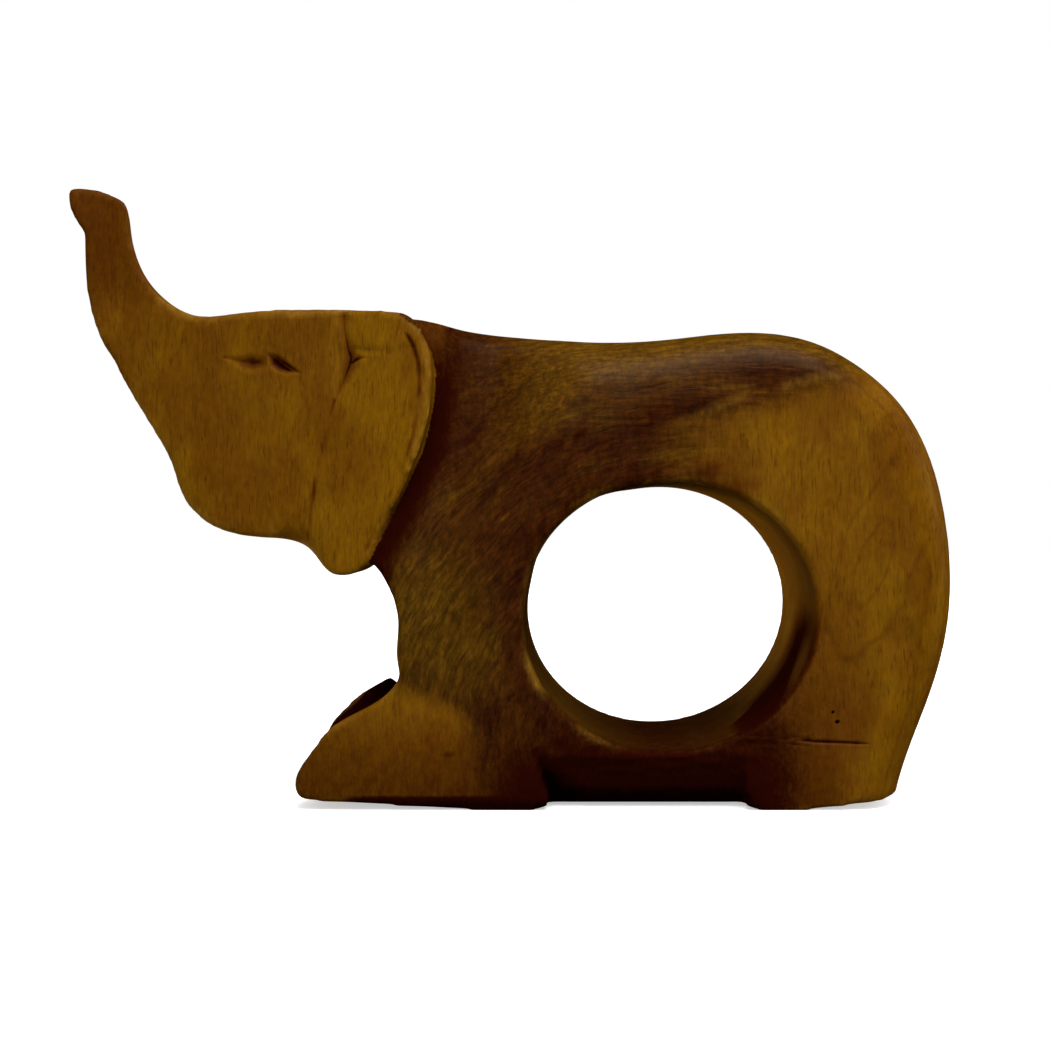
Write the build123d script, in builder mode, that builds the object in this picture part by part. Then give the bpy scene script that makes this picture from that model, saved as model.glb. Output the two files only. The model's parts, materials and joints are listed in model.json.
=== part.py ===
from build123d import *
import os

# A napkin ring in the shape of an elephant, carved by hand from one block of wood. Sizes are in mm.
# It stands on z = 0 and faces -X with its trunk raised. y = 0 is its middle plane, and x = 0 is half
# its length. The stages follow the carver's: saw the side view, thin the head, lean the ears out,
# round and hollow the body, bore the ring, part the feet and cut the eyes. Nothing is joined on the
# real object, so the stages end as one solid.

# Driving dimensions
HALF = 14.5  # half the thickness of the block, at the ears, the legs and the rump
THROUGH = 90.0  # longer than the block, for cuts right through it
CLEAR = 1.0  # how far a cutter stands out of the surface that it opens

BACK_ROUNDING = 5.0  # radius along the back and the rump

TRUNK_HALF = 2.8  # half the thickness of the trunk at its tip
CHEEK_HALF = 10.6  # half the thickness of the head where the ears begin
EAR_FRONT_TOP = (-17.3, 56.0)  # x and z of the ear's front edge
EAR_FRONT_LOW = (-21.6, 30.0)
EAR_WIDTH = 10.0  # from that edge to where the ear reaches the side of the block
HEAD_BACK_X = -5.0  # where the head ends, inside the neck
HEAD_BACK_HALF = 12.0

NECK_DEPTH = 4.3  # how far the neck lies below the side of the block
NECK_X, NECK_Z = -6.5, 50.0  # where it is that deep
NECK_RADIUS = 26.0  # of the hollow, across the neck
NECK_SLOPE = 8.5  # degrees by which the hollow runs out towards the shoulder
NECK_ROUNDING = 3.0  # along the top of the neck
NECK_LEAN = 12.0  # degrees by which it follows the rim of the ear

RING_WIDTH, RING_HEIGHT = 33.0, 30.2  # the napkin hole is an oval
RING_TILT = 10.0
RING_X, RING_Z = 19.4, 21.7
RING_CHAMFER = 0.4

HEEL_X = 5.6  # back of the forefeet
HIND_TOE_X = 28.0  # front of the hind feet
FOOT_EASE = 1.2  # the soles rise to the belly bar over this length
BELLY_Z = 0.4  # underside of the belly bar, just clear of the ground
BELLY_TUCK = 3.0  # how far the bar draws in towards its underside
BELLY_TUCK_Z = 6.0  # where it starts to draw in

VALLEY_TOP = (-9.6, 11.2)  # x and z of the bottom line of the valley between the forelegs
VALLEY_LOW = (-20.2, -0.8)
VALLEY_RISE = 5.9  # from that line out to the top edges of the legs
VALLEY_CUTTER = 1.2 * HALF  # half the width of its cutter

EYE_CUTS = (  # x, distance from y = 0, z and tilt in degrees of each cut
    (-30.5, 7.9, 51.1, 11.0),
    (-24.7, 9.4, 50.5, 33.0),
)
EYE_CUT_DEPTH = 0.8
EYE_CUT_HEIGHT = 0.9
EYE_CUT_RADIUS = 3.4

# The head and trunk in side view
with BuildSketch(Plane.XZ) as head_side:
    with BuildLine():
        tip = ThreePointArc((-51.9, 72.4), (-48.6, 72.2), (-45.9, 71.2))
        corner = ThreePointArc(tip @ 1, (-44.9, 70.4), (-44.5, 69.0))
        brow = Spline(
            corner @ 1,
            (-43.9, 65.3),
            (-42.4, 61.6),
            (-39.4, 58.4),
            (-35.4, 56.6),
            (-30.5, 56.8),
            (-24.0, 57.0),
            (-17.0, 56.8),
            (-11.2, 56.3),
        )
        rim = Spline(brow @ 1, (-8.8, 54.5), (-7.5, 49.5), (-8.2, 42.9), (-10.3, 37.2), (-14.9, 27.7))
        lobe = ThreePointArc(rim @ 1, (-17.8, 26.3), (-21.0, 27.8))
        jaw = Spline(lobe @ 1, (-22.0, 29.4), (-23.7, 30.2), (-27.5, 30.6), (-31.6, 31.2), (-34.8, 32.6))
        mouth = Line(jaw @ 1, (-36.3, 33.9))
        throat = Spline(mouth @ 1, (-37.6, 35.8), (-38.8, 39.1), (-40.8, 42.7), (-46.3, 51.7))
        underside = Spline(throat @ 1, (-48.6, 55.9), (-49.6, 60.5), (-49.9, 67.3))
        Spline(underside @ 1, (-51.5, 69.6), tip @ 0)
    make_face()

# The cheeks widen from the trunk to the ears, in top view
with BuildPart() as cheeks:
    extrude(head_side.sketch, amount=HALF, both=True)
    with BuildSketch(Plane.XY):
        with BuildLine():
            cheek = Spline(
                (-53.0, TRUNK_HALF),
                (-46.0, 3.0),
                (-36.0, 6.4),
                (-27.0, 8.9),
                (-19.0, CHEEK_HALF),
            )
            Polyline(cheek @ 1, (HEAD_BACK_X, HEAD_BACK_HALF), (HEAD_BACK_X, 0), (-53.0, 0), cheek @ 0)
        make_face()
        mirror(about=Plane.XZ)
    extrude(amount=THROUGH, mode=Mode.INTERSECT)

# The ears lean out from the cheeks, along a crease that slopes down to the jaw
crease_run = Vector(EAR_FRONT_TOP[0] - EAR_FRONT_LOW[0], 0, EAR_FRONT_TOP[1] - EAR_FRONT_LOW[1])
across_ears = Plane(origin=(EAR_FRONT_LOW[0], 0, EAR_FRONT_LOW[1]), x_dir=(0, -1, 0), z_dir=crease_run)
with BuildPart() as ears:
    extrude(head_side.sketch, amount=HALF, both=True)
    with BuildSketch(across_ears):
        with BuildLine():
            lean = Polyline((0, 0), (CHEEK_HALF, 0), (HALF, EAR_WIDTH))
            Polyline(lean @ 1, (HALF, 2 * EAR_WIDTH), (0, 2 * EAR_WIDTH), lean @ 0)
        make_face()
        mirror(about=Plane.YZ)
    extrude(amount=THROUGH, both=True, mode=Mode.INTERSECT)

# The body and legs in side view; the front of the neck ends inside the head
with BuildPart() as body:
    with BuildSketch(Plane.XZ):
        with BuildLine():
            back = Spline(
                (-12.0, 56.1),
                (-9.0, 56.0),
                (-5.0, 55.1),
                (1.0, 54.2),
                (10.0, 53.3),
                (19.0, 53.5),
                (28.0, 54.3),
                (36.2, 53.1),
                (41.3, 50.4),
                (45.9, 46.3),
                (49.3, 40.5),
                (51.2, 33.5),
                (51.9, 27.0),
                (51.4, 19.5),
                (49.3, 12.0),
                (46.4, 4.2),
                (45.6, 1.2),
            )
            hind_sole = Polyline(back @ 1, (35.0, 0), (HIND_TOE_X + FOOT_EASE, 0), (HIND_TOE_X, BELLY_Z))
            belly = Line(hind_sole @ 1, (HEEL_X, BELLY_Z))
            fore_sole = Polyline(belly @ 1, (HEEL_X - FOOT_EASE, 0), (-3.0, 0), (-22.0, 1.1))
            toe = Spline(fore_sole @ 1, (-22.9, 2.2), (-21.3, 6.2), (-19.7, 8.7))
            instep = Spline(toe @ 1, (-16.5, 10.6), (-14.0, 11.9), (-11.0, 15.2))
            chest = Spline(instep @ 1, (-11.5, 17.5), (-11.3, 20.9), (-12.5, 25.2), (-15.1, 28.6))
            Spline(chest @ 1, (-12.6, 36.8), (-10.4, 43.0), (-10.0, 49.0), back @ 0)
        make_face()
    extrude(amount=HALF, both=True)
    rear_edges = body.edges().filter_by(GeomType.BSPLINE).sort_by(SortBy.LENGTH)[-2:]
    fillet(rear_edges, BACK_ROUNDING)

    # The napkin hole
    with BuildSketch(Plane.XZ):
        with Locations((RING_X, RING_Z)):
            Ellipse(RING_WIDTH / 2, RING_HEIGHT / 2, rotation=RING_TILT)
    extrude(amount=HALF, both=True, mode=Mode.SUBTRACT)
    chamfer(body.edges().filter_by(GeomType.ELLIPSE), RING_CHAMFER)

    # The hollows of the neck, behind the ears
    for side in (-1, 1):
        axis_y = side * (HALF - NECK_DEPTH + NECK_RADIUS)
        with Locations(Location((NECK_X, axis_y, NECK_Z), (side * NECK_SLOPE, NECK_LEAN, 0))):
            Cylinder(NECK_RADIUS, 2 * THROUGH, mode=Mode.SUBTRACT)
        top_edges = body.edges(Select.NEW).filter_by(lambda edge: edge.center().Z > NECK_Z)
        fillet(top_edges.sort_by(SortBy.LENGTH)[-1], NECK_ROUNDING)

    # The belly bar draws in under the ring, between the feet
    with BuildSketch(Plane.YZ.offset(HEEL_X)):
        with BuildLine():
            tuck = Line((HALF - BELLY_TUCK, 0), (HALF, BELLY_TUCK_Z))
            Polyline(tuck @ 1, (HALF + CLEAR, BELLY_TUCK_Z), (HALF + CLEAR, 0), tuck @ 0)
        make_face()
        mirror(about=Plane.YZ)
    extrude(amount=HIND_TOE_X - HEEL_X, mode=Mode.SUBTRACT)

    # The valley that parts the forelegs
    valley_run = Vector(VALLEY_TOP[0] - VALLEY_LOW[0], 0, VALLEY_TOP[1] - VALLEY_LOW[1])
    across_legs = Plane(origin=(VALLEY_LOW[0], 0, VALLEY_LOW[1]), x_dir=(0, 1, 0), z_dir=valley_run)
    cutter_rise = VALLEY_CUTTER * VALLEY_RISE / HALF
    with BuildSketch(across_legs):
        Polygon((0, 0), (VALLEY_CUTTER, cutter_rise), (-VALLEY_CUTTER, cutter_rise), align=None)
    extrude(amount=valley_run.length, mode=Mode.SUBTRACT)

with BuildPart() as elephant:
    add(body.part)
    add(cheeks.part)
    add(ears.part)
    for side in (-1, 1):
        for x, half, z, tilt in EYE_CUTS:
            cut_y = side * (half - EYE_CUT_DEPTH + EYE_CUT_RADIUS)
            with Locations(Location((x, cut_y, z), (0, tilt, 0))):
                Cylinder(EYE_CUT_RADIUS, EYE_CUT_HEIGHT, mode=Mode.SUBTRACT)

elephant.part.label = "carved_elephant"
os.makedirs("parts", exist_ok=True)
export_step(elephant.part, "parts/carved_elephant.step")
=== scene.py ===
import json

import bmesh
import bpy
import numpy as np
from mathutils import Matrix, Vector


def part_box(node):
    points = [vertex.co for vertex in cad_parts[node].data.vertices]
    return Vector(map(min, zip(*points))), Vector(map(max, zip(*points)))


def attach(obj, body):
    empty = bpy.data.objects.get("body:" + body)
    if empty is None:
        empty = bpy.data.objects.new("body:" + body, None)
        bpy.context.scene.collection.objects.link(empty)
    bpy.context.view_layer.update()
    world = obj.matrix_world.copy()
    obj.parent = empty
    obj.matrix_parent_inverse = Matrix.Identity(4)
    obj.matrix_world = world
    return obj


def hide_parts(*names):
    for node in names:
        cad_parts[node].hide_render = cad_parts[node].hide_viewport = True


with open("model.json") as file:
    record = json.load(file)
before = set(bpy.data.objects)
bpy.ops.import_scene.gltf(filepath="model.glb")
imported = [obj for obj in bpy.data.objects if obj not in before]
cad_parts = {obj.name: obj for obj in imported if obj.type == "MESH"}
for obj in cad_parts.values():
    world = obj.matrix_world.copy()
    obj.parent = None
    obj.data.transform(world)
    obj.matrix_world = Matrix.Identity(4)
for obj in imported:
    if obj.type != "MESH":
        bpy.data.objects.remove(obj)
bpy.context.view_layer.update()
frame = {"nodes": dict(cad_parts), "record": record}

# An elephant napkin ring, carved by hand from one block of wood. The CAD solid gives the carved form.
# Here its skin is divided finely, its edges are rubbed down, the strokes of the knife are added and
# the wood is made as one solid grain that every cut goes through. It faces -X, and its near side is -Y.

NODE = "carved_elephant"
MM = 0.001
LOW, HIGH = (np.array(corner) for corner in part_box(NODE))
LENGTH, THICKNESS, HEIGHT = HIGH - LOW
HALF = THICKNESS / 2
NEAR, FAR = -1, 1  # the sides of the elephant, as signs of y


def x_at(along):
    """x at a share of the length, from the trunk's tip."""
    return LOW[0] + along * LENGTH


def z_at(up):
    """z at a share of the height."""
    return LOW[2] + up * HEIGHT


def place(along, up):
    """A spot in side view."""
    return np.array((x_at(along), z_at(up)))


# ---------------------------------------------------------------- camera

VIEW_DISTANCE = 1.931 * LENGTH  # from the elephant's middle plane
VIEW_ACROSS = 0.0597 * LENGTH  # of the lens axis, towards the rump
VIEW_HEIGHT = 0.457 * HEIGHT
FOCAL_MM = 56.75
FRAMING_SHIFT = (-0.0267, -0.0086)


def make_camera():
    """A close view square to the side, as high as the chest."""
    data = bpy.data.cameras.new("camera")
    data.sensor_width = 36.0
    data.lens = FOCAL_MM
    data.shift_x, data.shift_y = FRAMING_SHIFT
    data.clip_start, data.clip_end = 0.01, 20.0
    camera = bpy.data.objects.new("camera", data)
    middle = (LOW + HIGH) / 2
    camera.location = (middle[0] + VIEW_ACROSS, middle[1] - VIEW_DISTANCE, LOW[2] + VIEW_HEIGHT)
    camera.rotation_euler = (np.pi / 2, 0, 0)
    bpy.context.scene.collection.objects.link(camera)
    bpy.context.scene.camera = camera


# ---------------------------------------------------------------- curves, and fields over the skin


def ramp(value, start, end):
    """0 before start, 1 after end, and an even S between them."""
    share = np.clip((value - start) / (end - start), 0, 1)
    return share * share * (3 - 2 * share)


def curve(*spots, steps=10):
    """A smooth line in side view through spots, each a pair of shares for place()."""
    points = np.array([place(*spot) for spot in spots])
    points = np.vstack([2 * points[0] - points[1], points, 2 * points[-1] - points[-2]])
    t = np.linspace(0, 1, steps, endpoint=False)[:, None]
    spans = [
        (2 * b + (c - a) * t + (2 * a - 5 * b + 4 * c - d) * t**2 + (3 * b - 3 * c + d - a) * t**3) / 2
        for a, b, c, d in zip(points, points[1:], points[2:], points[3:])
    ]
    return np.vstack([*spans, points[-2]])


def measure(points, line):
    """For each point, its distance in side view from a line, and its place along it, 0 to 1."""
    flat = points[:, [0, 2]]
    lengths = np.linalg.norm(np.diff(line, axis=0), axis=1)
    starts = np.concatenate([[0], np.cumsum(lengths)])
    distance, run = np.full(len(flat), np.inf), np.zeros(len(flat))
    for a, b, length, start in zip(line, line[1:], lengths, starts):
        share = np.clip((flat - a) @ (b - a) / length**2, 0, 1)
        gap = np.linalg.norm(flat - a - share[:, None] * (b - a), axis=1)
        closer = gap < distance
        distance[closer] = gap[closer]
        run[closer] = start + share[closer] * length
    return distance, run / starts[-1]


def unevenness(points, wavelength, seed, waves=14):
    """A smooth random field of about -1 to 1."""
    random = np.random.default_rng(seed)
    field = np.zeros(len(points))
    for _ in range(waves):
        direction = random.normal(size=3)
        direction *= 2 * np.pi / (np.linalg.norm(direction) * wavelength * random.uniform(0.7, 1.5))
        field += np.sin(points @ direction + random.uniform(0, 2 * np.pi))
    return field / np.sqrt(waves)


# ---------------------------------------------------------------- the places of the carving's details

EYE_FRONT = curve((0.185, 0.714), (0.209, 0.706), (0.232, 0.703))
EYE_BACK = curve((0.243, 0.714), (0.253, 0.701), (0.264, 0.691), (0.282, 0.682))
EYE_LID = curve((0.246, 0.716), (0.262, 0.700), (0.282, 0.682))
EAR_CREASE = curve(
    (0.328, 0.774),
    (0.3295, 0.751),
    (0.333, 0.722),
    (0.336, 0.705),
    (0.3295, 0.676),
    (0.319, 0.640),
)
EAR_CREASE_LOW = curve((0.318, 0.640), (0.309, 0.593), (0.298, 0.530), (0.292, 0.467), (0.287, 0.419))
EAR_FOLD = curve((0.338, 0.722), (0.379, 0.716), (0.411, 0.721))
EAR_NICK = curve((0.336, 0.699), (0.346, 0.706), (0.360, 0.706))
EAR_RIM = curve(
    (0.390, 0.771),
    (0.414, 0.747),
    (0.4275, 0.684),
    (0.421, 0.593),
    (0.401, 0.514),
    (0.357, 0.383),
)
FOOT_TEAR = curve((0.772, 0.106), (0.800, 0.109), (0.835, 0.108))
FOOT_CRACK = curve((0.827, 0.107), (0.860, 0.106), (0.905, 0.103))
FOOT_LINE = curve((0.362, 0.087), (0.400, 0.090), (0.449, 0.088))
WORMHOLES = (place(0.863, 0.152), 0.15 * MM), (place(0.868, 0.137), 0.21 * MM)  # centre and radius
WORM_LINE = np.array([centre for centre, _ in WORMHOLES])
HEEL_TOP, HEEL_FOOT = place(0.533, 0.118), place(0.558, 0.006)  # of the wedge behind the forefeet
HIND_TOE = x_at(0.775)
BACK_SLOPE = curve(
    (0.385, 0.360),
    (0.426, 0.451),
    (0.480, 0.513),
    (0.556, 0.575),
    (0.632, 0.614),
    (0.719, 0.638),
    (0.828, 0.661),
)
RUMP_RIDGE = curve((0.680, 0.585), (0.730, 0.622), (0.790, 0.653), (0.914, 0.692))
NECK_EXIT = curve((0.580, 0.730), (0.520, 0.600), (0.470, 0.500), (0.420, 0.400))
HOLE = np.mean(frame["record"]["physics"]["openings"][0]["box_m"], axis=0)[[0, 2]]
HOLE_SEMI = np.array((16.5, 15.1)) * MM
HOLE_TILT = np.radians(10)

# ---------------------------------------------------------------- the skin

VOXEL = 0.5 * MM


class Skin:
    """The mesh of the carving with its points, normals and edges as arrays."""

    def __init__(self, mesh):
        self.mesh = mesh
        self.read()

    def read(self):
        """Reads the mesh, with no stain, painted shade, wear or painted highlight on it yet."""
        count = len(self.mesh.vertices)
        self.points = np.empty(count * 3)
        self.mesh.vertices.foreach_get("co", self.points)
        self.points = self.points.reshape(-1, 3)
        edges = np.empty(len(self.mesh.edges) * 2, np.int32)
        self.mesh.edges.foreach_get("vertices", edges)
        self.edges = edges.reshape(-1, 2)
        self.stain_and_shade = np.zeros(count)  # 1 where the colour is darkest: stain, and painted shade in the cuts, the hollows and low down
        self.wear_and_sheen = np.zeros(count)  # 1 where handling has rubbed the stain off an edge, and where a painted highlight lies on the rump's ridge
        self.shade()

    def shade(self):
        """Writes the points to the mesh and reads its new normals."""
        self.mesh.vertices.foreach_set("co", self.points.ravel())
        self.mesh.update()
        normals = np.empty(self.points.size)
        self.mesh.vertex_normals.foreach_get("vector", normals)
        self.normals = normals.reshape(-1, 3)

    def average(self, values):
        """The mean of each vertex's neighbours."""
        a, b = self.edges.T
        count = len(values)
        total = np.bincount(a, values[b], count) + np.bincount(b, values[a], count)
        return total / (np.bincount(a, minlength=count) + np.bincount(b, minlength=count))

    def relax(self, rounds, share=1.0, steps=(0.5,)):
        """Rubs the surface down. Each round moves every point by each step towards its neighbours' mean."""
        for step in rounds * steps:
            mean = np.stack([self.average(axis) for axis in self.points.T], axis=1)
            self.points += step * np.reshape(share, (-1, 1)) * (mean - self.points)
        self.shade()

    def refine(self, chosen):
        """Splits in four the faces between the chosen points."""
        grid = bmesh.new()
        grid.from_mesh(self.mesh)
        edges = [e for e in grid.edges if chosen[e.verts[0].index] and chosen[e.verts[1].index]]
        bmesh.ops.subdivide_edges(grid, edges=edges, cuts=1, use_grid_fill=True)
        grid.to_mesh(self.mesh)
        grid.free()
        self.read()

    def gap(self, *lines):
        """The distance in side view of each point from the nearest of the lines."""
        return np.min([measure(self.points, line)[0] for line in lines], axis=0)

    def bend(self):
        """How sharply the surface bends outwards at each point, as the inverse of a radius."""
        mean = np.stack([self.average(axis) for axis in self.points.T], axis=1)
        a, b = self.edges.T
        spans = np.sum((self.points[a] - self.points[b]) ** 2, axis=1)
        count = len(self.points)
        total = np.bincount(a, spans, count) + np.bincount(b, spans, count)
        spacing = total / (np.bincount(a, minlength=count) + np.bincount(b, minlength=count))
        return 4 * np.sum((self.points - mean) * self.normals, axis=1) / spacing

    def darken(self, amount):
        """Darkens the colour as stain and as painted shade, wherever it is darkened less than this amount.
        """
        self.stain_and_shade = np.maximum(self.stain_and_shade, amount)

    def facing_out(self):
        """1 where the skin faces either side."""
        return ramp(np.abs(self.normals[:, 1]), 0.15, 0.5)

    def facing(self, side):
        """1 where the skin faces that side."""
        return ramp(side * self.normals[:, 1], 0.15, 0.5)

    def inset(self, depth, sides=(NEAR, FAR)):
        """Cuts into the sides by a depth at each point. The next shade() takes it to the mesh."""
        for side in sides:
            self.points[:, 1] -= side * depth * self.facing(side)


def even_skin():
    """The CAD form as one even skin of small quads."""
    source = frame["nodes"][NODE]
    carving = bpy.data.objects.new("elephant_carving", source.data.copy())
    bpy.context.scene.collection.objects.link(carving)
    carving.data.materials.clear()
    weld = carving.modifiers.new("weld", "WELD")
    weld.merge_threshold = 0.001 * MM
    remesh = carving.modifiers.new("remesh", "REMESH")
    remesh.mode = "VOXEL"
    remesh.voxel_size = VOXEL
    graph = bpy.context.evaluated_depsgraph_get()
    mesh = bpy.data.meshes.new_from_object(carving.evaluated_get(graph))
    carving.modifiers.clear()
    carving.data = mesh
    mesh.shade_smooth()
    return carving


def hole_radius(points):
    """The distance from the napkin hole's middle, 1 on its wall."""
    across, up = (points[:, [0, 2]] - HOLE).T
    along = np.cos(HOLE_TILT) * across + np.sin(HOLE_TILT) * up
    over = np.cos(HOLE_TILT) * up - np.sin(HOLE_TILT) * across
    return np.hypot(along / HOLE_SEMI[0], over / HOLE_SEMI[1])


# ---------------------------------------------------------------- carving

RUBBING = 8  # rounds that round the edges by about half a millimetre
IN_AND_OUT = (0.5, -0.52)  # steps that smooth the skin without shrinking it
HEEL_CORNER, MOUTH_CORNER, CHEST_CORNER = (0.940, 0.015), (0.155, 0.465), (0.394, 0.21)
TRUNK_CORNERS = (0, 1), (0.018, 0.935), (0.055, 0.985)
CORNER_REACH = 3.5 * MM  # these corners stay crisp over this distance
EYE_FILL, CREASE_FILL, NECK_FILL, RIM_RUBBING = 150, 40, 60, 24  # rounds that smooth these places


def rub_edges(skin):
    """Rounds the edges but not the corners or the hole's edge, and fills the CAD's plain eye cuts."""
    rubbed = ramp(np.abs(hole_radius(skin.points) - 1), 0.04, 0.12)
    for corner in (HEEL_CORNER, MOUTH_CORNER, CHEST_CORNER, *TRUNK_CORNERS):
        away = np.linalg.norm(skin.points[:, [0, 2]] - place(*corner), axis=1)
        rubbed *= np.interp(away / CORNER_REACH, (0.6, 1), (0.15, 1))
    skin.relax(RUBBING, rubbed, IN_AND_OUT)
    skin.relax(EYE_FILL, ramp(skin.gap(EYE_FRONT, EYE_BACK), 3 * MM, 1.8 * MM))
    skin.relax(CREASE_FILL, ramp(skin.gap(EAR_CREASE_LOW), 5 * MM, 2.5 * MM))
    skin.relax(RIM_RUBBING, ramp(skin.gap(EAR_RIM), 1.4 * MM, 0.5 * MM), IN_AND_OUT)
    neck_exit = ramp(skin.gap(NECK_EXIT), 6 * MM, 2 * MM) * ramp(hole_radius(skin.points), 1.1, 1.3)
    skin.relax(NECK_FILL, neck_exit * skin.facing_out())


SLOPE_DEPTH = 3.6 * MM  # how far the sides have leaned in at SLOPE_REACH above BACK_SLOPE
SLOPE_REACH = 15 * MM
SLOPE_SPOTS = [x_at(along) for along in (0.44, 0.50, 0.70, 0.86)]
SLOPE_SHARES = (0.4, 1.0, 0.8, 0.0)  # of that lean, at these spots


def slope_back(skin):
    """The sides lean in above a line from the shoulder to the rump."""
    x, _, z = skin.points.T
    line_z = np.interp(x, BACK_SLOPE[:, 0], BACK_SLOPE[:, 1])
    rise = np.clip((z - line_z) / SLOPE_REACH, 0, None)
    lean = SLOPE_DEPTH * np.interp(x, SLOPE_SPOTS, SLOPE_SHARES) * rise**1.1
    behind_ear = ramp(x, x_at(0.425), x_at(0.46))
    skin.points[:, 1] *= 1 - lean * behind_ear / HALF
    skin.shade()


RIDGE_STAIN = 0.42


def stain_ridge(skin):
    """Patches of darker wood follow the line where the back starts to lean in."""
    x, _, z = skin.points.T
    below = np.interp(x, BACK_SLOPE[:, 0], BACK_SLOPE[:, 1]) - z
    patches = ramp(unevenness(skin.points, 5 * MM, seed=41), -0.6, 1.0)
    streaks = ramp(unevenness(skin.points, 1.6 * MM, seed=42), -1.0, 1.0)
    band = ramp(below, -0.6 * MM, 0.5 * MM) * ramp(below, 3.5 * MM, 0.8 * MM) * skin.facing_out()
    band *= ramp(x, BACK_SLOPE[0, 0], x_at(0.45)) * ramp(x, x_at(0.78), x_at(0.70))
    skin.darken(RIDGE_STAIN * band * patches * streaks)


MARK_DEPTH = 0.09 * MM


def leave_hand_marks(skin):
    """No face is quite flat, and the knife leaves shallow flats on the trunk and the jaw."""
    wall = ramp(hole_radius(skin.points), 1.1, 1.25)
    for share, wavelength, seed in ((1.0, 13 * MM, 3), (0.3, 4.5 * MM, 8)):
        dents = np.clip(1 + unevenness(skin.points, wavelength, seed), 0, None)
        skin.inset(share * MARK_DEPTH * dents * wall)
    skin.shade()


def cut(skin, line, width, depth, shares=(0.1, 1, 1, 0.1), sides=(NEAR, FAR), darken=1.0):
    """A V-shaped knife cut. shares are of its width and depth, evenly spaced along the line."""
    distance, run = measure(skin.points, line)
    share = np.interp(run, np.linspace(0, 1, len(shares)), shares)
    v = np.clip(1 - distance / (width * share + 1e-9), 0, 1) * share
    skin.inset(depth * v, sides)
    # the cut is painted darker, partly as stain and partly as painted shade in it
    for side in sides:
        skin.darken(darken * v * skin.facing(side))


def carve_eyes(skin):
    """Two shallow gouges meet at the corners of a sleepy eye, under a thin lid."""
    cut(skin, EYE_FRONT, 1.15 * MM, 0.42 * MM, (0.05, 0.3, 0.45, 0.7, 1, 0.8), darken=0.5)
    cut(skin, EYE_FRONT - (0, 0.5 * MM), 0.9 * MM, 0.15 * MM, (0.05, 0.1, 0.3, 0.9, 1, 0.9), darken=0.3)
    cut(skin, EYE_BACK, 1.0 * MM, 0.42 * MM, (0.35, 1, 1, 0.7, 0.3, 0.05), darken=0.62)
    cut(skin, EYE_BACK, 0.4 * MM, 0.12 * MM, (0.1, 0.6, 1, 0.8, 0.2, 0.05), darken=0.9)
    cut(skin, EYE_LID, 0.45 * MM, 0.15 * MM, (0.3, 0.8, 1, 0.9, 0.7, 0.1), darken=0.6)
    skin.shade()


def carve_ears(skin):
    """A crease in front of each ear, with a fold and a nick behind it."""
    cut(skin, EAR_CREASE, 1.6 * MM, 0.45 * MM, (0.8, 0.5, 0.5, 0.9, 1.0, 0.8, 0.6, 0.2), darken=0.38)
    cut(skin, EAR_CREASE, 0.4 * MM, 0.12 * MM, (0.6, 0.5, 0.7, 1.0, 1.0, 0.75, 0.5, 0.2), darken=0.6)
    cut(skin, EAR_CREASE_LOW, 0.6 * MM, 0.15 * MM, (0.7, 0.3, 0.7, 0.3, 0.9, 0.4, 0.6), darken=0.55)
    cut(skin, EAR_FOLD, 0.8 * MM, 0.2 * MM, (0.4, 1, 0.5, 0.9, 0.3), darken=0.2)
    cut(skin, EAR_NICK, 0.45 * MM, 0.25 * MM, (0.9, 1, 0.4, 0.1), darken=0.6)
    skin.shade()


RIM_BAND = (1.5 * MM, 0.8 * MM)  # width of the band, at the ear's top and at its lobe
RIM_DEPTH, RIM_LINE_DEPTH = 0.3 * MM, 0.08 * MM
RIM_LINE_STAIN = 0.6
HOLLOW_REACH, NECK_REACH = 6 * MM, 20 * MM  # how far behind the rim the dark painted shade, and the lighter darkening of stain with painted shade, lie
HOLLOW_SHADE, NECK_STAIN_AND_SHADE = 0.60, 0.38


def band_ear_rims(skin):
    """A sunk band runs round the rim of each ear with a dark line at its edge. Right behind it the hollow
    is painted dark as the ear's shadow, and farther back up the neck it is darkened, partly as stain and
    partly as painted shade.
    """
    x, _, z = skin.points.T
    distance, run = measure(skin.points, EAR_RIM)
    from_rim = x - np.interp(z, EAR_RIM[::-1, 1], EAR_RIM[::-1, 0])
    ear = from_rim < 0.2 * MM
    band = np.interp(run, (0, 1), RIM_BAND)
    started = ramp(run, 0, 0.06)
    skin.inset(RIM_DEPTH * np.clip(1 - distance / band, 0, 1) * started * ear)
    broken = ramp(unevenness(skin.points, 4 * MM, seed=5), -1.0, 0.7)
    line = np.clip(1 - np.abs(distance - band) / (0.5 * MM), 0, 1) * started * ear
    skin.inset(RIM_LINE_DEPTH * line)
    skin.darken(RIM_LINE_STAIN * line * broken * np.interp(run, (0.1, 0.45), (1, 0.5)))
    low = ramp(z, z_at(0.80), z_at(0.62))
    high = ramp(z, z_at(0.38), z_at(0.60))
    # painted shadow of the ear in the hollow, then stain with painted shade up the neck
    for reach, darken in ((HOLLOW_REACH, HOLLOW_SHADE * (0.5 + 0.5 * low)), (NECK_REACH, NECK_STAIN_AND_SHADE * high)):
        hollow = ramp(from_rim, reach, 0.8 * MM) * ramp(distance, 1.2 * reach, 0.5 * reach) * ~ear
        skin.darken(darken * hollow)
    skin.shade()


TEAR_DEPTH, WORMHOLE_DEPTH = 0.14 * MM, 0.8 * MM
# the wormholes are painted dark, as the shade inside them
TEAR_STAIN, WORMHOLE_SHADE = 0.5, 0.75


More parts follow.
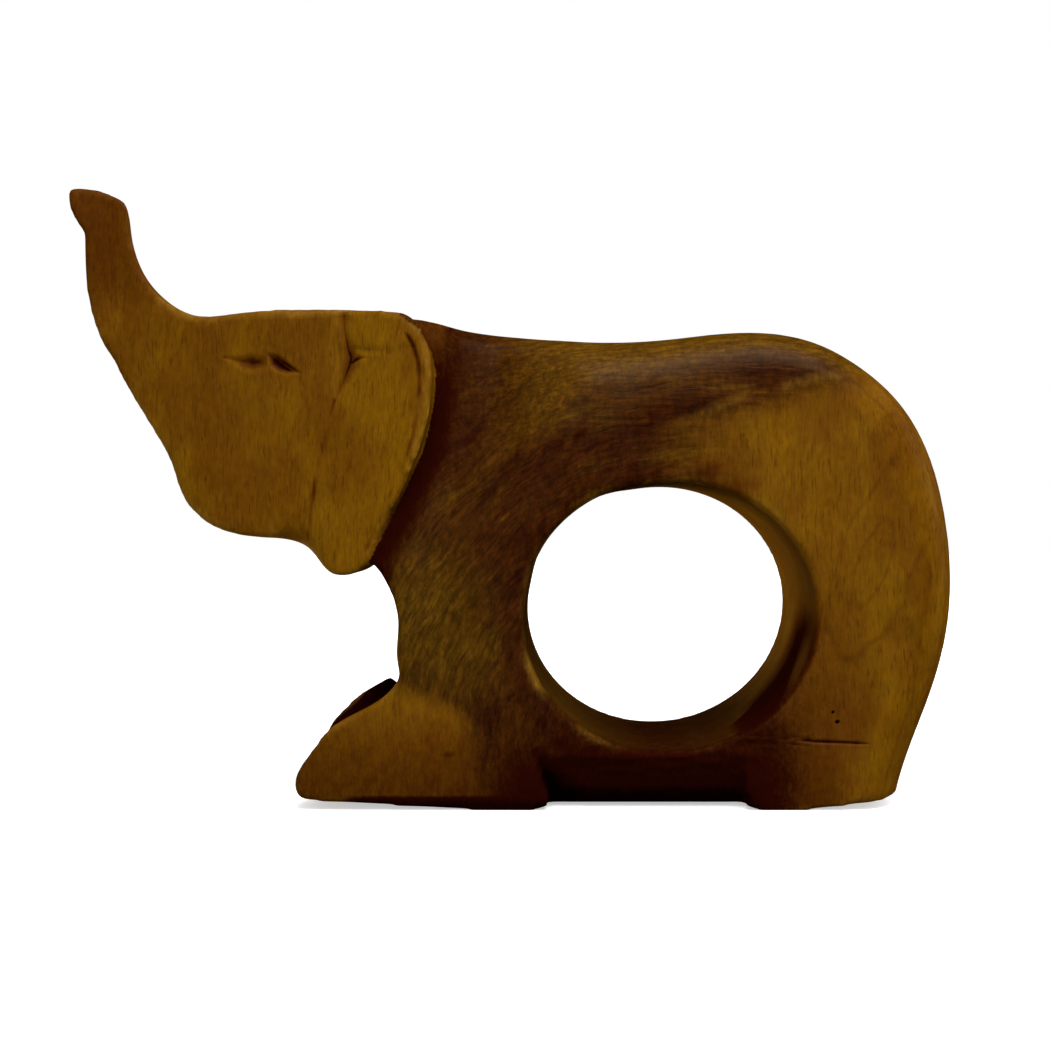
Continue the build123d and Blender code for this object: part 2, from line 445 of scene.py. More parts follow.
def tear_hind_foot(skin):
    """Torn fibres, a crack and two wormholes, and a line on the forefoot, on the near side only."""
    cut(skin, FOOT_CRACK, 0.32 * MM, 0.25 * MM, (0.2, 0.9, 1, 0.8, 0.9, 0.2), (NEAR,), 0.7)
    cut(skin, FOOT_LINE, 0.6 * MM, 0.15 * MM, (0.1, 0.5, 0.4, 1), (NEAR,), 0.6)
    ragged = 0.5 + 0.5 * unevenness(skin.points * (1, 1, 4), 2.2 * MM, seed=12)
    torn = ramp(skin.gap(FOOT_TEAR), 1.1 * MM, 0.2 * MM) * ragged
    skin.inset(TEAR_DEPTH * np.clip(torn, 0, 1), (NEAR,))
    skin.darken(TEAR_STAIN * torn * skin.facing(NEAR))
    for centre, radius in WORMHOLES:
        distance = np.linalg.norm(skin.points[:, [0, 2]] - centre, axis=1)
        pit = ramp(distance, 1.3 * radius, 0.5 * radius)
        skin.inset(WORMHOLE_DEPTH * pit, (NEAR,))
        skin.darken(WORMHOLE_SHADE * pit * skin.facing(NEAR))
    skin.shade()


HEEL_CUT = 3.2 * MM  # depth of the wedge at the ground
HEEL_CUT_WIDTH = 0.8 * MM, 4.0 * MM  # at its top and at the ground
# the wedge is painted near black, as the shadow in it
HEEL_CUT_SHADOW = 1.5


def part_heels(skin):
    """A wedge cut away behind the forefeet, deepest at the ground, painted near black as the shadow in it.
    """
    x, _, z = skin.points.T
    down = ramp(z, HEEL_TOP[1], HEEL_FOOT[1])
    beyond = x - np.interp(z, (HEEL_FOOT[1], HEEL_TOP[1]), (HEEL_FOOT[0], HEEL_TOP[0]))
    width = np.interp(down, (0, 1), HEEL_CUT_WIDTH)
    wedge = ramp(beyond, -0.3 * MM, 0.35 * MM) * np.clip(1 - beyond / width, 0, 1)
    skin.inset(HEEL_CUT * wedge * down)
    skin.darken(HEEL_CUT_SHADOW * wedge * down**0.4)
    skin.shade()


BELLY_MARK_DEPTH = 0.12 * MM
BELLY_SHADE = 0.5  # painted shade on the bar, and as much again on the lowest edge


def scrape_belly(skin):
    """Rough tool marks run along the belly bar, which is painted dark as shade, and nearly black along its
    lowest edge as painted shade.
    """
    x, _, z = skin.points.T
    bar = ramp(x, HEEL_FOOT[0] - 1 * MM, HEEL_FOOT[0] + 2 * MM)
    bar *= ramp(x, HIND_TOE + 5 * MM, HIND_TOE - 2 * MM)
    marks = 1 + unevenness(skin.points * (1, 1, 3.5), 4 * MM, seed=21)
    marked = ramp(z, z_at(0.15), z_at(0.08)) * ramp(z, z_at(0.03), z_at(0.08))
    skin.inset(BELLY_MARK_DEPTH * bar * marked * marks)
    side, edge = ramp(z, z_at(0.15), z_at(0.075)), ramp(z, z_at(0.045), z_at(0.015))
    skin.darken(BELLY_SHADE * bar * (side + edge))


def from_hole(skin, across, up):
    """How directly each point lies from the hole's middle towards a direction in side view."""
    out = skin.points[:, [0, 2]] - HOLE
    return out @ np.array((across, up)) / np.linalg.norm(out, axis=1)


TO_HIND_FOOT, TO_NECK, TO_BACK = (0.85, -0.53), (-0.7, 0.7), (-0.35, 0.94)  # from the hole's middle
ABOVE_HOLE_DARK, HOLE_WALL_SHADE = 0.34, 0.60


def darken_hole(skin):
    """The near part of the hole's wall, towards the hind foot, is painted dark red as shade, and above the
    hole the side is painted darker red in streaks.
    """
    radius = hole_radius(skin.points)
    towards = from_hole(skin, *TO_HIND_FOOT)
    skin.wear_and_sheen *= 1 - ramp(towards, 0.6, 0.9) * ramp(radius, 1.2, 1.1)
    above = ramp(radius, 1.32, 1.10) * ramp(from_hole(skin, *TO_BACK), 0.35, 0.85) * skin.facing_out()
    streaks = ramp(unevenness(skin.points, 3 * MM, seed=52), -1.4, 0.6)
    skin.darken(ABOVE_HOLE_DARK * above * streaks)
    wall = ramp(radius, 1.06, 1.01) * ramp(towards, 0.75, 0.95) * ramp(skin.points[:, 1], 8 * MM, -5 * MM)
    patches = ramp(unevenness(skin.points, 12 * MM, seed=51), -2.0, 0.0)
    skin.darken(HOLE_WALL_SHADE * wall * patches)


VALLEY_SPOTS = x_at(0.28), x_at(0.35)
VALLEY_SHADE = 0.45, 0.85  # painted shade, at these spots


def shade_valley(skin):
    """The valley between the forelegs and the far instep are painted dark as shade, darkest at the chest.
    """
    x, y, z = skin.points.T
    valley = ramp(y, -HALF + 1 * MM, -HALF + 3 * MM) * ramp(y, HALF - 1 * MM, HALF - 2 * MM)
    valley *= ramp(x, x_at(0.50), x_at(0.47)) * ramp(z, z_at(0.29), z_at(0.22))
    above_sole = ramp(skin.normals[:, 2], -0.5, -0.2)
    skin.darken(np.interp(x, VALLEY_SPOTS, VALLEY_SHADE) * valley * above_sole)


HEEL_DARK, TOE_DARK = 0.62, 0.6  # at the ends of the belly bar, partly dirt and partly painted shade near the ground
# the soles and the hind leg darken towards the ground, partly as dirt and partly as painted shade
SOLE_DARK, SOLE_EDGE_DARK = 0.2, 0.6
SKIN_STAIN, LEG_DARK, TRUNK_STAIN = 0.06, 0.28, 0.27  # the first lies all over


def darken_feet_and_trunk(skin):
    """Polish and dirt darken the trunk's tip; the feet, the soles and both ends of the belly bar darken
    towards the ground, partly as dirt and partly as painted shade.
    """
    x, _, z = skin.points.T
    low = ramp(z, z_at(0.20), LOW[2])
    heel = ramp(x, HEEL_FOOT[0] - 15 * MM, HEEL_FOOT[0] - 1 * MM) * ramp(x, HIND_TOE, HIND_TOE - 3 * MM)
    toe = ramp(x, HIND_TOE + 12 * MM, HIND_TOE + 0.5 * MM) * ramp(x, HEEL_FOOT[0], HIND_TOE - 2 * MM)
    forefoot = ramp(x, x_at(0.31), x_at(0.36)) * ramp(x, HEEL_FOOT[0] + 1 * MM, HEEL_FOOT[0])
    sole, edge = ramp(z, z_at(0.075), LOW[2]), ramp(z, z_at(0.03), z_at(0.012)) * forefoot
    leg = ramp(z, z_at(0.23), z_at(0.02)) * ramp(x, x_at(0.92), x_at(0.84))
    trunk = ramp(z, z_at(0.72), z_at(0.86))
    skin.darken(HEEL_DARK * low**0.7 * heel)
    skin.darken(TOE_DARK * low**0.5 * toe)
    skin.darken(SOLE_DARK * sole + SOLE_EDGE_DARK * edge)
    skin.darken(SKIN_STAIN + LEG_DARK * leg)
    skin.darken(TRUNK_STAIN * trunk)


INSTEP_SPOTS = [x_at(along) for along in (0.278, 0.317, 0.331, 0.357, 0.385)]
INSTEP_DROPS = [drop * MM for drop in (0.1, 1.2, 1.2, 1.0, 0.3)]


def lower_far_instep(skin):
    """The far foreleg's instep is lower than the near one's, most of all halfway down."""
    x, y, z = skin.points.T
    lower = np.interp(x, INSTEP_SPOTS, INSTEP_DROPS)
    lower *= ramp(x, x_at(0.44), x_at(0.39)) * ramp(y, -4 * MM, 6 * MM)
    skin.points[:, 2] -= lower * ramp(z, z_at(0.32), z_at(0.22)) * ramp(z, LOW[2], z_at(0.12))
    skin.shade()


LOBE_LIFT = 1.9 * MM  # at its end


def lift_far_lobe(skin):
    """The far ear ends a little higher than the near one."""
    x, y, z = skin.points.T
    lobe = ramp(z, z_at(0.44), z_at(0.385)) * ramp(y, 0, 8 * MM)
    lobe *= ramp(x, x_at(0.37), x_at(0.355)) * ramp(x, x_at(0.25), x_at(0.29))
    skin.points[:, 2] += LOBE_LIFT * lobe
    skin.shade()


TRUNK_LEAN = 0.22  # how far the raised trunk slants across, as a slope
TRUNK_HALF = 2.8 * MM  # half its thickness


def lean_trunk(skin):
    """The raised trunk isn't quite square: its far side reaches further forward."""
    x, y, z = skin.points.T
    raised = ramp(z, z_at(0.76), z_at(0.86)) * ramp(x, LOW[0], LOW[0] + 4 * MM)
    skin.points[:, 0] -= TRUNK_LEAN * raised * np.clip(y + TRUNK_HALF, 0, None)
    skin.shade()


HOLE_BULGE = 0.6 * MM  # how far its wall stands outside the oval at most


def bulge_hole(skin):
    """The napkin hole isn't quite an oval: it is fuller above, towards the neck."""
    out = skin.points[:, [0, 2]] - HOLE
    distance = np.linalg.norm(out, axis=1, keepdims=True)
    towards = (out / distance) @ np.array(TO_NECK)
    share = ramp(towards, 0.8, 1.0) * ramp(hole_radius(skin.points), 1.6, 1.05)
    skin.points[:, [0, 2]] += HOLE_BULGE * share[:, None] * out / distance
    skin.shade()


RIDGE_SHEEN = 0.45  # of what a sharp edge has, as a painted highlight on the rump's ridge


def wear_edges(skin):
    """Handling pales the stain on the edges, here more and there less, and a painted highlight pales a
    ridge of the rump.
    """
    bend = skin.bend()
    for _ in range(3):
        bend = (bend + skin.average(bend)) / 2
    distance, run = measure(skin.points, RUMP_RIDGE)
    ridge = ramp(distance, 0.9 * MM, 0.1 * MM) * np.interp(run, (0, 0.2, 0.8, 1), (0, 1, 1, 0))
    patches = ramp(unevenness(skin.points, 9 * MM, seed=31), -1.2, 0.8)
    edges = ramp(bend, 0.25 / MM, 0.9 / MM)
    skin.wear_and_sheen = patches * np.maximum(edges, RIDGE_SHEEN * ridge * skin.facing_out())


# Within these distances of the cuts the skin is divided once, twice and, at the wormholes, three times
FINE_REACH, FINER_REACH, FINEST_REACH = 1.9 * MM, 1.1 * MM, 0.6 * MM


def carve(carving):
    """Works the form first, then divides the skin finely where it's cut, then cuts it and paints on stain,
    wear, painted shade and a painted highlight.
    """
    skin = Skin(carving.data)
    rub_edges(skin)
    slope_back(skin)
    lower_far_instep(skin)
    lean_trunk(skin)
    bulge_hole(skin)
    lift_far_lobe(skin)
    fine = EYE_FRONT, EYE_BACK, EAR_CREASE, EAR_NICK, FOOT_TEAR, FOOT_CRACK, WORM_LINE
    skin.refine((skin.gap(*fine, EAR_RIM - (0.7 * MM, 0)) < FINE_REACH) & (skin.facing_out() > 0))
    skin.refine((skin.gap(*fine) < FINER_REACH) & (skin.facing_out() > 0))
    skin.refine((skin.gap(WORM_LINE) < FINEST_REACH) & (skin.facing(NEAR) > 0))
    skin.relax(2)
    wear_edges(skin)
    leave_hand_marks(skin)
    stain_ridge(skin)
    carve_eyes(skin)
    carve_ears(skin)
    band_ear_rims(skin)
    part_heels(skin)
    tear_hind_foot(skin)
    scrape_belly(skin)
    darken_feet_and_trunk(skin)
    shade_valley(skin)
    darken_hole(skin)
    skin.points = np.clip(skin.points, LOW, HIGH)
    skin.shade()
    for name, values in (("stain_and_shade", skin.stain_and_shade), ("wear_and_sheen", skin.wear_and_sheen)):
        attribute = skin.mesh.attributes.new(name, "FLOAT", "POINT")
        attribute.data.foreach_set("value", values)


# ---------------------------------------------------------------- studio


def area_light(name, at, aim, size, power, glossy=True):
    """A soft lamp that looks from one spot at another. A lamp that isn't glossy leaves no highlight."""
    data = bpy.data.lights.new(name, "AREA")
    data.shape = "RECTANGLE"
    data.size, data.size_y = size
    data.energy = power
    lamp = bpy.data.objects.new(name, data)
    lamp.location = at
    lamp.rotation_euler = (Vector(aim) - Vector(at)).to_track_quat("-Z", "Y").to_euler()
    lamp.visible_glossy = glossy
    bpy.context.scene.collection.objects.link(lamp)


def add_node(tree, kind, inputs=None, **settings):
    """A node with its settings and inputs; an input is a value or another node's output."""
    node = tree.nodes.new(kind)
    for key, value in settings.items():
        setattr(node, key, value)
    for key, value in (inputs or {}).items():
        if isinstance(value, bpy.types.NodeSocket):
            tree.links.new(value, node.inputs[key])
        else:
            node.inputs[key].default_value = value
    return node


WHITE = (1, 1, 1, 1)
TENT = 0.50  # light from the white tent in front
BACKDROP = 0.65  # light from the white card behind
GROUND_SHARE = 0.45  # what is left of that light from below


def make_world():
    """A white tent with a bright card behind the object; the camera sees white all round."""
    world = bpy.data.worlds.new("studio")
    bpy.context.scene.world = world
    world.use_nodes = True
    tree = world.node_tree
    tree.nodes.clear()
    towards = add_node(tree, "ShaderNodeTexCoord").outputs["Generated"]
    _, back, up = add_node(tree, "ShaderNodeSeparateXYZ", {0: towards}).outputs
    depth = {"Value": back, "From Min": -0.1, "From Max": 0.6, "To Min": TENT, "To Max": BACKDROP}
    height = {"Value": up, "From Min": -0.2, "From Max": 0.3, "To Min": GROUND_SHARE, "To Max": 1.0}
    around, above = (
        add_node(tree, "ShaderNodeMapRange", inputs, interpolation_type="SMOOTHSTEP").outputs[0]
        for inputs in (depth, height)
    )
    glow = add_node(tree, "ShaderNodeMath", {0: around, 1: above}, operation="MULTIPLY").outputs[0]
    ambient = add_node(tree, "ShaderNodeBackground", {"Color": WHITE, "Strength": glow}).outputs[0]
    white = add_node(tree, "ShaderNodeBackground", {"Color": WHITE, "Strength": 1.0}).outputs[0]
    seen = add_node(tree, "ShaderNodeLightPath").outputs["Is Camera Ray"]
    both = add_node(tree, "ShaderNodeMixShader", {0: seen, 1: ambient, 2: white}).outputs[0]
    add_node(tree, "ShaderNodeOutputWorld", {"Surface": both})
    world.cycles_visibility.glossy = False


FLOOR_RADIUS = 12 * LENGTH
FLOOR_COLOUR = (0.9, 0.9, 0.9, 1)
FLOOR_GLOW = {"From Min": 0.6 * LENGTH, "From Max": 2 * LENGTH, "To Min": 0.5, "To Max": 1.0}


def make_card():
    """A pale card that glows, more so far from the object, so that it runs on into the white all round."""
    material = bpy.data.materials.new("white_card")
    material.use_nodes = True
    tree = material.node_tree
    tree.nodes.clear()
    spot = add_node(tree, "ShaderNodeTexCoord").outputs["Object"]
    radius = add_node(tree, "ShaderNodeVectorMath", {0: spot}, operation="LENGTH").outputs["Value"]
    inputs = {"Value": radius, **FLOOR_GLOW}
    glow = add_node(tree, "ShaderNodeMapRange", inputs, interpolation_type="SMOOTHSTEP").outputs[0]
    card = add_node(tree, "ShaderNodeBsdfDiffuse", {"Color": FLOOR_COLOUR}).outputs[0]
    light = add_node(tree, "ShaderNodeEmission", {"Strength": glow}).outputs[0]
    both = add_node(tree, "ShaderNodeAddShader", {0: card, 1: light}).outputs[0]
    add_node(tree, "ShaderNodeOutputMaterial", {"Surface": both})
    return material


def make_floor():
    """A round floor that takes the object's shadow but doesn't light it or shade the lamp below."""
    bpy.ops.mesh.primitive_circle_add(vertices=96, radius=FLOOR_RADIUS, fill_type="NGON")
    floor = bpy.context.object
    floor.location.z = LOW[2]
    floor.name = "floor"
    floor.data.materials.append(make_card())
    floor.visible_diffuse = False
    floor.visible_glossy = False
    floor.visible_shadow = False


# ---------------------------------------------------------------- wood

# Colours of the oiled wood, as linear light; the darkest also paint shade, and the pale of worn edges also
# a highlight
PALE_GOLD = (0.196, 0.084, 0.0010, 1)
GOLD = (0.144, 0.051, 0.0008, 1)
CREST = (0.098, 0.041, 0.0014, 1)
OLIVE = (0.086, 0.038, 0.0010, 1)
UMBER = (0.052, 0.0150, 0.0010, 1)
HEARTWOOD = (0.044, 0.0092, 0.0008, 1)
RUSSET = (0.105, 0.0240, 0.0008, 1)
MAROON = (0.021, 0.0022, 0.0006, 1)
BURNT = (0.004, 0.0006, 0.0004, 1)
# the pale of worn edges, and of the painted highlight on the rump's ridge
PALE_WEAR_AND_SHEEN = (0.300, 0.150, 0.0120, 1)
WARM = (1.0, 0.80, 0.50, 1)  # the tint of the wax's shine
SHINE = 0.09

# The dark heart of the trunk, in side view
HEART_LEG, HEART_CHEST = x_at(0.42), x_at(0.31)  # its front edge, which steps forward at the top of the leg
LEG_TOP = z_at(0.17)
HEART_LOBE, HEART_NECK = x_at(0.356), x_at(0.431)  # and then follows the rim of the ear
EAR_FOOT, EAR_HEAD = z_at(0.375), z_at(0.64)
HEART_REAR = place(0.835, 0.11), place(0.730, 0.57)  # its rear edge slants between these
HEART_TOP = z_at(0.60)
HEART_SWEEP = 3.2  # above that the rear edge sweeps back over the rump, as a slope
HEART_EDGE, NECK_EDGE = 8 * MM, 1.2 * MM  # it darkens over these distances
HEART_SWAY, NECK_SWAY = 16 * MM, 0.8 * MM  # and wanders this far
STEP = 3 * MM

# Where the colours change; a pair is where each change starts and ends
EAR_PALE = x_at(0.27), x_at(0.36)  # the ears are paler than the cheeks
PALE_BACK = x_at(0.46), x_at(0.58)  # and the crest of the back than the neck, partly as a painted highlight
CHEST_OLIVE = x_at(0.43), x_at(0.53)  # the chest is olive, partly as painted light from the left
CHEST_FADE = z_at(0.46), z_at(0.32)
LEG_FADE = z_at(0.12), z_at(0.26)

# The fibres of the body sweep round a spot below the napkin hole, and lie level on the neck and the back
GRAIN_MIDDLE = place(0.74, 0.08)
GRAIN_RADIUS = 30 * MM  # where the fibres have their true length
GRAIN_WAVE = 1.8 * MM  # how far they wander
LEVEL_GRAIN = z_at(0.52), z_at(0.62)

# Growth layers lie along the sides of the block
LAYER = 1.7 * MM  # from one to the next
LAYER_WAVE, LAYER_RIPPLE = 2.4 * MM, 0.9 * MM
RED_LAYER = 0.6 * MM  # the outermost layer of the block is red
PALE_LAYER = 0.6 * MM, 2.1 * MM  # it gets paler between these depths, so the crest that leans in is paler, partly as a painted highlight
FIGURE_MIDDLE = place(0.905, 0.38)
FIGURE_REACH = 3.6 * MM, 9 * MM  # across and up
FIGURE_RISE = 3.2 * MM  # how far the layers swell there


class Wood:
    """Builds the material of the block, with its fibres along Z and its growth layers along the sides."""

    def __init__(self):
        self.material = bpy.data.materials.new("oiled_hardwood")
        self.material.use_nodes = True
        self.tree = self.material.node_tree
        self.tree.nodes.clear()
        self.place = self.add("ShaderNodeTexCoord").outputs["Object"]
        self.x, self.y, self.z = self.add("ShaderNodeSeparateXYZ", {0: self.place}).outputs

    def add(self, kind, inputs=None, **settings):
        """A node of this material."""
        return add_node(self.tree, kind, inputs, **settings)

    def noise(self, across, through, along, detail=2.0, roughness=0.5, seed=0.0, grain=None):
        """Noise, with its features per millimetre across the side, through the block and along it."""
        scale = (across / MM, through / MM, along / MM)
        inputs = {"Vector": grain or self.place, "Scale": scale, "Location": (seed, seed, seed)}
        spread = self.add("ShaderNodeMapping", inputs)
        inputs = {"Vector": spread.outputs[0], "Scale": 1.0, "Detail": detail, "Roughness": roughness}
        return self.add("ShaderNodeTexNoise", inputs).outputs[0]

    def math(self, operation, a, b=0.0, c=0.0):
        """The result of an operation on numbers or other nodes' outputs."""
        return self.add("ShaderNodeMath", {0: a, 1: b, 2: c}, operation=operation).outputs[0]

    def fade(self, value, start, end, low=0.0, high=1.0):
        """An even S from low at start to high at end."""
        inputs = {"Value": value, "From Min": start, "From Max": end, "To Min": low, "To Max": high}
        return self.add("ShaderNodeMapRange", inputs, interpolation_type="SMOOTHSTEP").outputs[0]

    def mix(self, share, a, b, blend="MIX"):
        """Colours a and b mixed by a share."""
        node = self.add("ShaderNodeMix", data_type="RGBA", blend_type=blend)
        for socket, value in zip((node.inputs[0], node.inputs[6], node.inputs[7]), (share, a, b)):
            if isinstance(value, bpy.types.NodeSocket):
                self.tree.links.new(value, socket)
            else:
                socket.default_value = value
        return node.outputs[2]

    def blend(self, share, a, b):
        """Values a and b mixed by a share."""
        return self.math("MULTIPLY_ADD", share, self.math("SUBTRACT", b, a), a)


def body_grain(wood):
    """Places in the body along its fibres, which sweep round the napkin hole in slight waves."""
    across = wood.math("SUBTRACT", wood.x, GRAIN_MIDDLE[0])
    up = wood.math("SUBTRACT", wood.z, GRAIN_MIDDLE[1])
    radius = wood.math("SQRT", wood.math("MULTIPLY_ADD", across, across, wood.math("MULTIPLY", up, up)))
    wave = wood.noise(0.22, 0.1, 0.22, detail=2.0, seed=23.0)
    radius = wood.math("MULTIPLY_ADD", wave, GRAIN_WAVE, radius)
    along = wood.math("MULTIPLY", wood.math("ARCTAN2", up, across), GRAIN_RADIUS)
    return wood.add("ShaderNodeCombineXYZ", {0: radius, 1: wood.y, 2: along}).outputs[0]


def heart_share(wood):
    """1 in the dark heart of the trunk, which runs up through the body."""
    wobble = wood.noise(0.06, 0.05, 0.035, detail=4.0, roughness=0.6, seed=2.0)
    neck = wood.fade(wood.z, EAR_FOOT - 1 * MM, EAR_FOOT + 1 * MM)
    sway = wood.blend(neck, HEART_SWAY, NECK_SWAY)
    x = wood.math("MULTIPLY_ADD", wood.math("SUBTRACT", wobble, 0.5), sway, wood.x)
    low_front = wood.fade(wood.z, LEG_TOP - STEP, LEG_TOP + STEP, HEART_LEG, HEART_CHEST)
    neck_front = wood.fade(wood.z, EAR_FOOT, EAR_HEAD, HEART_LOBE, HEART_NECK)
    front = wood.blend(neck, low_front, neck_front)
    behind_front = wood.fade(wood.math("SUBTRACT", x, front), 0.0, wood.blend(neck, HEART_EDGE, NECK_EDGE))
    (low_x, low_z), (high_x, high_z) = HEART_REAR
    rear = wood.fade(wood.z, low_z, high_z, low_x, high_x)
    above = wood.math("MAXIMUM", wood.math("SUBTRACT", wood.z, HEART_TOP), 0.0)
    rear = wood.math("MULTIPLY_ADD", above, HEART_SWEEP, rear)
    before_rear = wood.fade(wood.math("SUBTRACT", rear, x), -HEART_EDGE, HEART_EDGE)
    return wood.math("MULTIPLY", behind_front, before_rear)


def rump_figure(wood):
    """A swelling in the growth layers, which shows as nested arches on the rump."""
    across, up = (
        wood.math("DIVIDE", wood.math("SUBTRACT", value, middle), reach)
        for value, middle, reach in zip((wood.x, wood.z), FIGURE_MIDDLE, FIGURE_REACH)
    )
    across = wood.math("MULTIPLY_ADD", up, -0.8, across)
    square = wood.math("MULTIPLY_ADD", across, across, wood.math("MULTIPLY", up, up))
    return wood.math("POWER", np.e, wood.math("MULTIPLY", square, -1.0))


def layer_depth(wood):
    """How deep a place lies under the side of the block, measured from wavy growth layers."""
    wave = wood.noise(0.045, 0.02, 0.03, detail=2.0, seed=11.0)
    ripple = wood.noise(0.35, 0.1, 0.12, detail=4.0, roughness=0.6, seed=13.0)
    depth = wood.math("SUBTRACT", HALF, wood.math("ABSOLUTE", wood.y))
    depth = wood.math("MULTIPLY_ADD", wood.math("SUBTRACT", wave, 0.5), LAYER_WAVE, depth)
    depth = wood.math("MULTIPLY_ADD", wood.math("SUBTRACT", ripple, 0.5), LAYER_RIPPLE, depth)
    return wood.math("ADD", depth, wood.math("MULTIPLY", rump_figure(wood), FIGURE_RISE))


def gold_wood(wood):
    """The gold wood at both ends, in soft clouds, paler on the ears."""
    clouds = wood.noise(0.12, 0.10, 0.06, detail=4.0, roughness=0.6, seed=9.0)
    ear = wood.math("MULTIPLY", wood.fade(wood.x, *EAR_PALE), wood.fade(wood.x, *PALE_BACK, 1.0, 0.0))
    clouds = wood.math("MULTIPLY_ADD", ear, -0.09, clouds)
    return wood.mix(wood.fade(clouds, 0.34, 0.58), PALE_GOLD, GOLD)


def heart_wood(wood, grain, depth):
    """The dark wood between, with a red skin, patches along the grain, a pale crest that is partly a
    painted highlight, and an olive chest that is partly painted light from the left.
    """
    colour = wood.mix(wood.fade(depth, RED_LAYER, 0.0, 0.0, 0.9), UMBER, HEARTWOOD)
    patches = wood.noise(0.24, 0.2, 0.08, detail=6.0, roughness=0.7, seed=17.0, grain=grain)
    colour = wood.mix(wood.fade(patches, 0.51, 0.62, 0.0, 0.7), colour, MAROON)
    above_leg = wood.fade(wood.z, *LEG_FADE)
    olive = wood.math("MULTIPLY", wood.fade(patches, 0.48, 0.36, 0.0, 0.6), above_leg)
    colour = wood.mix(olive, colour, OLIVE)
    # the crest painted paler, partly as a highlight
    crest = wood.math("MULTIPLY", wood.fade(depth, *PALE_LAYER, 0.0, 0.85), wood.fade(wood.x, *PALE_BACK))
    colour = wood.mix(crest, colour, CREST)
    # the lower chest painted olive, partly as light from the left
    chest = wood.math("MULTIPLY", wood.fade(wood.x, *CHEST_OLIVE, 0.85, 0.0), above_leg)
    return wood.mix(wood.math("MULTIPLY", chest, wood.fade(wood.z, *CHEST_FADE)), colour, OLIVE)


def growth_lines(wood, depth, streaks):
    """Where the growth layers meet the surface in thin lines, bolder behind the ears than before them."""
    phase = wood.math("PINGPONG", wood.math("MULTIPLY_ADD", depth, 1 / LAYER, 0.5), 0.5)
    bold = wood.fade(wood.x, HEART_NECK - STEP, HEART_NECK + STEP, 0.10, 0.34)
    bold = wood.math("MULTIPLY", bold, wood.fade(streaks, 0.35, 0.6))
    return wood.math("MULTIPLY", wood.fade(phase, 0.12, 0.0), bold)


def fibre_shade(wood, heart, streaks, mottle):
    """A grey that varies from fibre to fibre, more strongly in the heart."""
    shade = wood.fade(mottle, 0.3, 0.7, 0.80, 1.20)
    shade = wood.math("MULTIPLY", shade, wood.fade(streaks, 0.3, 0.7, 0.78, 1.22))
    shade = wood.math("POWER", shade, wood.fade(heart, 0.0, 1.0, 0.7, 1.8))
    return wood.add("ShaderNodeCombineColor", {0: shade, 1: shade, 2: shade}).outputs[0]


def handled(wood, colour, heart, mottle, stain_and_shade, wear_and_sheen):
    """The colour paled where the edges are worn and on the rump's painted highlight, and darkened by stain
    and painted shade: red at first, then near black.
    """
    colour = wood.mix(wood.math("MULTIPLY", wear_and_sheen, wood.fade(mottle, 0.3, 0.7, 0.2, 0.7)), colour, PALE_WEAR_AND_SHEEN)
    darken = wood.math("MULTIPLY", stain_and_shade, wood.fade(mottle, 0.3, 0.7, 1.15, 0.92))
    light = wood.math("MULTIPLY", wood.fade(darken, 0.0, 0.30, 0.0, 0.6), wood.fade(heart, 0.9, 0.3))
    colour = wood.mix(light, colour, RUSSET)
    colour = wood.mix(wood.fade(darken, 0.1, 0.58), colour, MAROON)
    return wood.mix(wood.fade(darken, 0.5, 1.0), colour, BURNT)


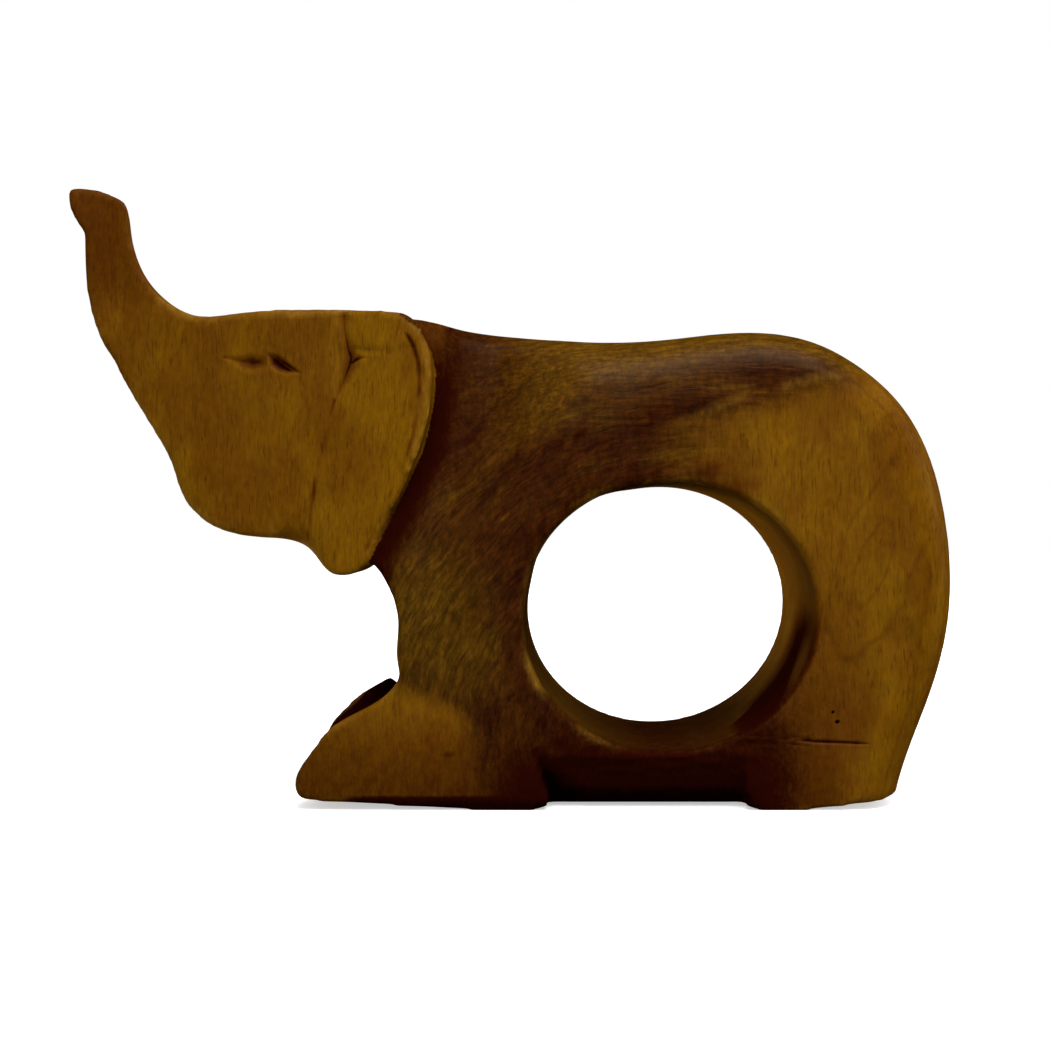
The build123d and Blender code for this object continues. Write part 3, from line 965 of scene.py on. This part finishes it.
def make_wood():
    """Oiled and waxed hardwood, with its colour, its fine relief and its soft shine."""
    wood = Wood()
    stain_and_shade, wear_and_sheen = (
        wood.add("ShaderNodeAttribute", attribute_name=name).outputs["Fac"] for name in ("stain_and_shade", "wear_and_sheen")
    )
    grain = body_grain(wood)
    heart = heart_share(wood)
    depth = layer_depth(wood)
    mottle = wood.noise(1.5, 1.5, 0.8, detail=5.0, roughness=0.75, seed=6.0)
    upright = wood.noise(4.2, 4.2, 0.5, detail=4.0, roughness=0.7)
    swept = wood.noise(2.6, 2.6, 0.40, detail=4.0, roughness=0.7, grain=grain)
    level = wood.noise(0.22, 2.4, 2.4, detail=4.0, roughness=0.7, seed=27.0)
    swept = wood.blend(wood.fade(wood.z, *LEVEL_GRAIN), swept, level)
    streaks = wood.blend(heart, upright, swept)
    upright_dashes = wood.noise(5.0, 5.0, 0.55, detail=1.0, seed=7.0)
    swept_dashes = wood.noise(2.6, 2.6, 0.35, detail=2.0, seed=7.0, grain=grain)
    pores = wood.fade(wood.blend(heart, upright_dashes, swept_dashes), 0.58, 0.70)

    colour = wood.mix(heart, gold_wood(wood), heart_wood(wood, grain, depth))
    colour = wood.mix(growth_lines(wood, depth, streaks), colour, MAROON)
    colour = wood.mix(1.0, colour, fibre_shade(wood, heart, streaks, mottle), "MULTIPLY")
    colour = wood.mix(wood.math("MULTIPLY", pores, 0.35), colour, MAROON)
    colour = handled(wood, colour, heart, mottle, stain_and_shade, wear_and_sheen)

    relief = wood.math("MULTIPLY_ADD", pores, -0.8, streaks)
    bump = wood.add("ShaderNodeBump", {"Height": relief, "Strength": 0.4, "Distance": 0.06 * MM})
    surface = {
        "Base Color": colour,
        "Roughness": wood.fade(wood.noise(0.3, 0.3, 0.1, detail=2.0, seed=5.0), 0.3, 0.7, 0.28, 0.38),
        "Normal": bump.outputs[0],
        "Specular IOR Level": wood.fade(stain_and_shade, 0.05, 0.5, SHINE, 0.0),
        "Specular Tint": WARM,
    }
    finish = wood.add("ShaderNodeBsdfPrincipled", surface).outputs[0]
    wood.add("ShaderNodeOutputMaterial", {"Surface": finish})
    return wood.material


# ---------------------------------------------------------------- the scene

bpy.context.scene.view_settings.view_transform = "Standard"
make_camera()
carving = even_skin()
carve(carving)
carving.data.materials.append(make_wood())
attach(carving, "root")
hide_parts(NODE)
make_world()
make_floor()
body_middle = (0, 0, 0.03)
area_light("key", (0.05, -0.16, 0.30), (0.01, 0, 0.03), (0.26, 0.2), 0.9)
area_light("bounce", (-0.22, 0.20, -0.12), (0.02, 0, 0.03), (0.2, 0.2), 1.1, glossy=False)
area_light("far", (0.05, 0.50, 0.06), body_middle, (0.5, 0.4), 0.9, glossy=False)
area_light("rear", (0.42, 0.10, 0.16), (0.03, 0, 0.03), (0.3, 0.3), 0.9, glossy=False)
area_light("fill", (0.0, -0.5, 0.12), body_middle, (0.6, 0.4), 0.60, glossy=False)
